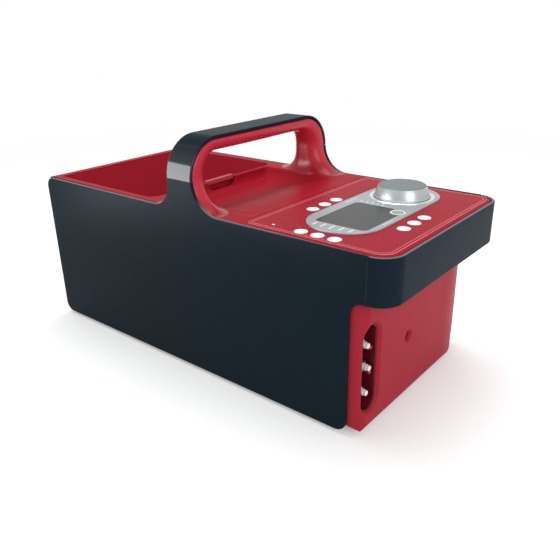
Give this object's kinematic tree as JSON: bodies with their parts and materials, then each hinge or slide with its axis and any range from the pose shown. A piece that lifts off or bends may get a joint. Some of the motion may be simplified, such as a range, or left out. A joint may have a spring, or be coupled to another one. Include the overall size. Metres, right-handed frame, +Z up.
{
  "type": "hot and cold therapy machine",
  "caption": "Box-shaped therapy unit with carrying handle, hinged reservoir lid, control panel with display, knob and buttons, and a hose socket with sprung nozzle valves.",
  "frame": {"origin": "centre of the bounding box in plan, at the bottom of the rubber feet", "axes": "+X towards the control end, +Y away from the hose socket, +Z up"},
  "size_m": [0.413, 0.197, 0.2177],
  "materials": {
    "shell_black": "moulded, semi-gloss, soft broken edges",
    "strap_black": "moulded, gloss",
    "housing_red": "satin moulded plastic",
    "deck_red": "satin moulded plastic",
    "grip_red": "satin-gloss moulded plastic",
    "lid_red": "satin moulded plastic",
    "film_red": "printed polyester film",
    "socket_red": "moulded plastic",
    "guide_red": "moulded plastic",
    "bezel_silver": "satin silver paint",
    "window_glass": "clear window over a grey display",
    "display_grey": "reflective display",
    "knob_silver": "satin turned top, bright flank",
    "trim_silver": "bright ring",
    "steel": "turned steel",
    "screw_steel": "zinc-plated steel",
    "button_white": "satin moulded plastic",
    "button_grey": "satin moulded plastic",
    "valve_white": "moulded acetal",
    "led_white": "diffused lens",
    "board_green": "solder-masked glass fibre",
    "part_grey": "moulded plastic",
    "tub_natural": "natural polyethylene",
    "filter_white": "moulded plastic",
    "tray_grey": "coated sheet steel",
    "pump_black": "moulded plastic",
    "pump_metal": "cast and turned aluminium",
    "block_natural": "moulded plastic",
    "hose_clear": "soft translucent tube",
    "rubber_black": "moulded rubber"
  },
  "bodies": {
    "machine": {"side_panel_near": "shell_black", "side_panel_far": "shell_black", "front_band": "shell_black", "handle_strap": "strap_black", "handle_grip": "grip_red", "lower_housing": "housing_red", "top_deck": "deck_red", "control_deck": "deck_red", "panel_film": "film_red", "lid_hinge_pins": "screw_steel", "reservoir_tub": "tub_natural", "reservoir_filter": "filter_white", "display_bezel": "bezel_silver", "display_window": "window_glass", "display_module": "display_grey", "knob_ring": "trim_silver", "encoder_body": "part_grey", "status_led": "led_white", "control_board": "board_green", "key_switches": "part_grey", "board_screws": "screw_steel", "hose_socket": "socket_red", "supply_nozzle": "steel", "air_nozzle": "steel", "return_nozzle": "steel", "nozzle_o_rings": "rubber_black", "guide_pins": "guide_red", "power_inlet": "rubber_black", "chassis_tray": "tray_grey", "water_pump": "pump_black", "air_pump": "pump_metal", "valve_block": "block_natural", "main_board": "board_green", "suction_hose": "hose_clear", "supply_hose": "hose_clear", "return_hose": "hose_clear", "air_hose": "hose_clear", "feet": "rubber_black", "base_screws": "screw_steel"},
    "lid": {"lid": "lid_red", "lid_seal": "rubber_black"},
    "knob": {"knob": "knob_silver", "encoder_shaft": "steel"},
    "button_near_1": {"button_near_1": "button_white"},
    "button_near_2": {"button_near_2": "button_white"},
    "button_near_3": {"button_near_3": "button_white"},
    "button_rear_1": {"button_rear_1": "button_white"},
    "button_rear_2": {"button_rear_2": "button_white"},
    "button_rear_3": {"button_rear_3": "button_white"},
    "button_front_1": {"button_front_1": "button_white"},
    "button_front_2": {"button_front_2": "button_white"},
    "button_front_3": {"button_front_3": "button_white"},
    "select_button": {"select_button": "button_grey"},
    "supply_valve": {"supply_valve": "valve_white"},
    "air_valve": {"air_valve": "valve_white"},
    "return_valve": {"return_valve": "valve_white"}
  },
  "joints": [
    {"name": "lid_hinge", "type": "hinge", "parent": "machine", "child": "lid", "pos_m": [-0.19, 0, 0.1533], "axis": [0, -1, 0], "range_deg": [0, 100]},
    {"name": "knob_spin", "type": "hinge", "parent": "machine", "child": "knob", "pos_m": [0.135, 0.0455, 0.1573], "axis": [0, 0, 1], "continuous": true},
    {"name": "press_near_1", "type": "slide", "parent": "machine", "child": "button_near_1", "axis": [0, 0, -1], "range_m": [0, 0.0006], "stiffness_N_per_m": 400, "springref_m": -0.0005},
    {"name": "press_near_2", "type": "slide", "parent": "machine", "child": "button_near_2", "axis": [0, 0, -1], "range_m": [0, 0.0006], "stiffness_N_per_m": 400, "springref_m": -0.0005},
    {"name": "press_near_3", "type": "slide", "parent": "machine", "child": "button_near_3", "axis": [0, 0, -1], "range_m": [0, 0.0006], "stiffness_N_per_m": 400, "springref_m": -0.0005},
    {"name": "press_rear_1", "type": "slide", "parent": "machine", "child": "button_rear_1", "axis": [0, 0, -1], "range_m": [0, 0.0006], "stiffness_N_per_m": 400, "springref_m": -0.0005},
    {"name": "press_rear_2", "type": "slide", "parent": "machine", "child": "button_rear_2", "axis": [0, 0, -1], "range_m": [0, 0.0006], "stiffness_N_per_m": 400, "springref_m": -0.0005},
    {"name": "press_rear_3", "type": "slide", "parent": "machine", "child": "button_rear_3", "axis": [0, 0, -1], "range_m": [0, 0.0006], "stiffness_N_per_m": 400, "springref_m": -0.0005},
    {"name": "press_front_1", "type": "slide", "parent": "machine", "child": "button_front_1", "axis": [0, 0, -1], "range_m": [0, 0.0006], "stiffness_N_per_m": 400, "springref_m": -0.0005},
    {"name": "press_front_2", "type": "slide", "parent": "machine", "child": "button_front_2", "axis": [0, 0, -1], "range_m": [0, 0.0006], "stiffness_N_per_m": 400, "springref_m": -0.0005},
    {"name": "press_front_3", "type": "slide", "parent": "machine", "child": "button_front_3", "axis": [0, 0, -1], "range_m": [0, 0.0006], "stiffness_N_per_m": 400, "springref_m": -0.0005},
    {"name": "press_select", "type": "slide", "parent": "machine", "child": "select_button", "axis": [0, 0, -1], "range_m": [0, 0.0006], "stiffness_N_per_m": 400, "springref_m": -0.0005},
    {"name": "supply_valve_slide", "type": "slide", "parent": "machine", "child": "supply_valve", "axis": [-1, 0, 0], "range_m": [0, 0.0025], "stiffness_N_per_m": 400, "springref_m": -0.0015},
    {"name": "air_valve_slide", "type": "slide", "parent": "machine", "child": "air_valve", "axis": [-1, 0, 0], "range_m": [0, 0.0025], "stiffness_N_per_m": 400, "springref_m": -0.0015},
    {"name": "return_valve_slide", "type": "slide", "parent": "machine", "child": "return_valve", "axis": [-1, 0, 0], "range_m": [0, 0.0025], "stiffness_N_per_m": 400, "springref_m": -0.0015}
  ]
}
